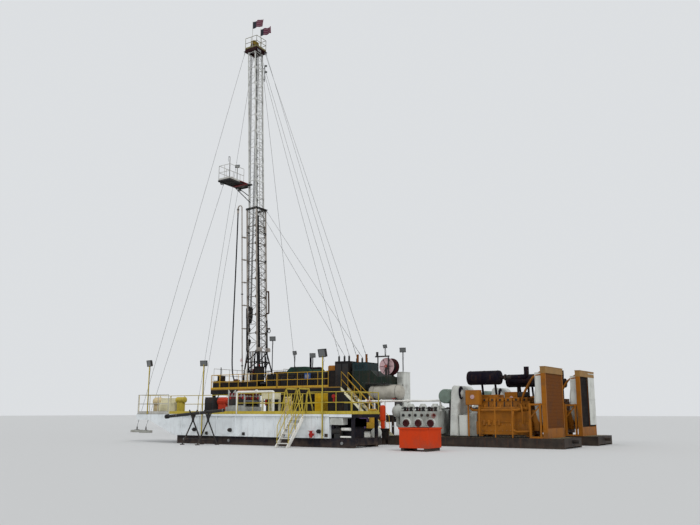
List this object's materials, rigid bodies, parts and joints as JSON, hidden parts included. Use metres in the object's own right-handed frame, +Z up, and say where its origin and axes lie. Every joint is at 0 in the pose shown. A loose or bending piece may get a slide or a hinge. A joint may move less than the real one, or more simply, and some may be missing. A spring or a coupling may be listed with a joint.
{
  "type": "trailer drilling rig with mud tank and mud pump sets",
  "caption": "Trailer-mounted drilling rig: guyed telescoping lattice mast on a raised floor, with side mud tank, floodlight poles and mud pump sets.",
  "frame": {"origin": "on the ground under the mast, at the centre of the underside of the carrier's middle foot pad", "axes": "+Z up; +X along the carrier from the well towards its gooseneck; +Y from the mud tank towards the rig"},
  "size_m": [37.71, 21.4836, 33.6],
  "materials": {
    "chassis_steel": "satin, scuffed",
    "tyre": "matt",
    "deck_steel": "worn yellow-brown paint",
    "floor_steel": "oily dark paint",
    "worn_steel": "worn",
    "yellow_rail": "faded yellow paint",
    "grey_rail": "faded paint",
    "house_paint": "dull dark paint",
    "green_cover": "dull green paint",
    "exhaust_black": "matt heat-proof black",
    "dark_box": "dull dark paint",
    "teal_paint": "dull dark teal paint",
    "reel_paint": "faded paint",
    "pale_grey": "satin pale grey",
    "stair_cream": "faded cream paint",
    "mast_dark": "dull dark paint",
    "mast_grey": "weathered grey",
    "mast_pale": "weathered pale paint",
    "sheave_yellow": "yellow paint",
    "flag_cloth": "woven polyester",
    "board_brown": "dark red-brown paint",
    "lamp_body": "satin dark paint",
    "hose_rubber": "matt black rubber",
    "block_black": "greasy black",
    "wire_rope": "dull greased wire",
    "tank_grey": "chalky pale blue-grey paint",
    "cream_yellow": "faded cream-yellow paint",
    "shaker_red": "dark red paint",
    "mixer_buff": "faded buff paint",
    "white_pipe": "white paint",
    "pump_grey": "light grey paint, oily",
    "engine_ochre": "ochre engine enamel",
    "radiator_brown": "rust-brown paint",
    "manifold_violet": "dark violet paint",
    "crate_orange": "orange-red paint"
  },
  "bodies": {
    "rig": {"carrier_frame": "chassis_steel", "carrier_wheels": "tyre", "carrier_jacks": "chassis_steel", "rig_deck": "deck_steel", "drill_floor": "floor_steel", "rotary_table": "worn_steel", "deck_rails": "yellow_rail", "floor_rails": "grey_rail", "engine_house": "house_paint", "house_cover": "green_cover", "rig_exhausts": "exhaust_black", "rear_boxes": "dark_box", "gooseneck_body": "teal_paint", "reel_stand": "chassis_steel", "air_vessel": "pale_grey", "control_cabinet": "pale_grey", "deck_stair": "stair_cream", "mast_support": "mast_dark", "mast_foot": "mast_dark", "mast_lower_near": "mast_grey", "mast_lower_far": "mast_grey", "mast_lower_back": "mast_grey", "mast_upper_near": "mast_pale", "mast_upper_far": "mast_pale", "mast_upper_back": "mast_pale", "mast_splice": "mast_dark", "crown_frame": "mast_dark", "crown_sheaves": "sheave_yellow", "crown_rail": "sheave_yellow", "flags": "flag_cloth", "racking_board": "board_brown", "racking_rail": "mast_dark", "mast_lamps": "lamp_body", "standpipe": "mast_dark", "rotary_hose": "hose_rubber", "hose_union": "worn_steel", "drilling_lines": "wire_rope", "guy_lines": "wire_rope", "guy_anchors": "chassis_steel", "tank_shell": "tank_grey", "tank_deck": "chassis_steel", "tank_skid": "chassis_steel", "tank_rails": "cream_yellow", "shale_shaker": "shaker_red", "tank_mixers": "mixer_buff", "tank_fittings": "white_pipe", "tank_ladder": "stair_cream", "lamp_poles": "lamp_body", "pipe_trestles": "lamp_body", "pump_skids": "chassis_steel", "mud_pumps": "pump_grey", "pump_engines": "engine_ochre", "pump_exhausts": "exhaust_black", "radiators": "radiator_brown", "manifold_frame": "white_pipe", "manifold_units": "manifold_violet", "orange_crate": "crate_orange"},
    "hose_reel": {"hose_reel": "reel_paint"},
    "travelling_block": {"travelling_block": "block_black", "hook_and_kelly": "worn_steel"}
  },
  "joints": [
    {"name": "block_travel", "type": "slide", "parent": "rig", "child": "travelling_block", "axis": [0, 0, 1], "range_m": [0, 9], "deforming": ["drilling_lines"]},
    {"name": "reel_spin", "type": "hinge", "parent": "rig", "child": "hose_reel", "pos_m": [12.05, -0.8, 4.52], "axis": [0, 1, 0], "continuous": true}
  ]
}
